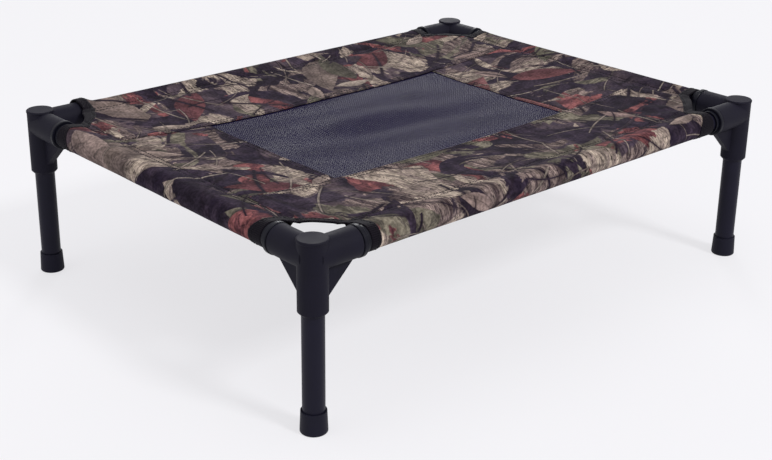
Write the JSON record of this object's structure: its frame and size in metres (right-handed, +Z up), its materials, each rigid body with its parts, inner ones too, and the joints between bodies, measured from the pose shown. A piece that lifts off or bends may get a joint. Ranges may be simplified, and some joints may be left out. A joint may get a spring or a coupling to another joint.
{
  "type": "raised dog cot",
  "caption": "Raised dog cot: a tube frame with moulded corner connectors and pull-out legs on rubber feet, and a sewn cover with a mesh window stretched over the rails.",
  "frame": {"origin": "on the floor at the middle of the footprint", "axes": "+X along the length from the left end to the right end, +Y from the front to the rear, +Z up"},
  "size_m": [0.6132, 0.4692, 0.178],
  "materials": {
    "connector": "satin moulded",
    "bush": "gloss moulded",
    "tube": "powder coated",
    "foot": "matt",
    "cover": "printed woven polyester",
    "mesh": "coated open weave",
    "binding": "woven tape"
  },
  "bodies": {
    "cot": {"connector_front_left": "connector", "connector_front_right": "connector", "connector_rear_right": "connector", "connector_rear_left": "connector", "rail_front": "tube", "rail_rear": "tube", "rail_left": "tube", "rail_right": "tube", "bush_front_left": "bush", "bush_front_right": "bush", "bush_rear_left": "bush", "bush_rear_right": "bush", "bush_left_front": "bush", "bush_left_rear": "bush", "bush_right_front": "bush", "bush_right_rear": "bush", "cover_strip_front": "cover", "cover_strip_rear": "cover", "cover_end_left": "cover", "cover_end_right": "cover", "mesh_window": "mesh", "binding_front_left": "binding", "binding_front_right": "binding", "binding_rear_right": "binding", "binding_rear_left": "binding"},
    "front_left_leg": {"leg_front_left": "tube", "foot_front_left": "foot"},
    "front_right_leg": {"leg_front_right": "tube", "foot_front_right": "foot"},
    "rear_right_leg": {"leg_rear_right": "tube", "foot_rear_right": "foot"},
    "rear_left_leg": {"leg_rear_left": "tube", "foot_rear_left": "foot"}
  },
  "joints": [
    {"name": "front_left_leg_pull", "type": "slide", "parent": "cot", "child": "front_left_leg", "axis": [0, 0, -1], "range_m": [0, 0.04]},
    {"name": "front_right_leg_pull", "type": "slide", "parent": "cot", "child": "front_right_leg", "axis": [0, 0, -1], "range_m": [0, 0.04]},
    {"name": "rear_right_leg_pull", "type": "slide", "parent": "cot", "child": "rear_right_leg", "axis": [0, 0, -1], "range_m": [0, 0.04]},
    {"name": "rear_left_leg_pull", "type": "slide", "parent": "cot", "child": "rear_left_leg", "axis": [0, 0, -1], "range_m": [0, 0.04]}
  ]
}
